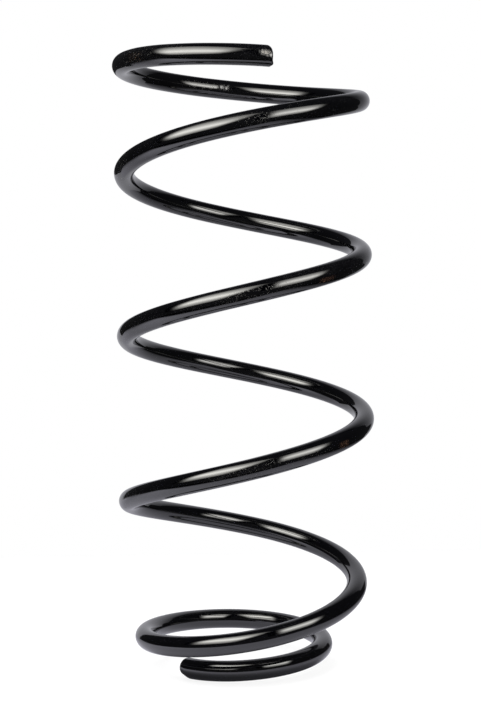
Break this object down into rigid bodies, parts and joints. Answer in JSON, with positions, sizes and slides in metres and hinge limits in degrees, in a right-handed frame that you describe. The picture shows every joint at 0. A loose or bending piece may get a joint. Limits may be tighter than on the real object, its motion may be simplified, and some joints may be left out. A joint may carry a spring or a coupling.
{
  "type": "suspension spring",
  "caption": "Coil spring for a car's suspension strut: round coated wire wound into a cylinder, with a smaller pigtail coil at the foot and an open coil at the top.",
  "frame": {"origin": "on the axis of the body's coils, in the plane that the lowest point of the pigtail stands on", "axes": "+Z along the axis of the coils, from the pigtail to the open top coil; the top's cut end lies at the front, towards -Y"},
  "size_m": [0.1582, 0.1595, 0.378],
  "materials": {
    "coated_wire": "gloss"
  },
  "bodies": {
    "root": {"coil_wire": "coated_wire"}
  },
  "joints": []
}
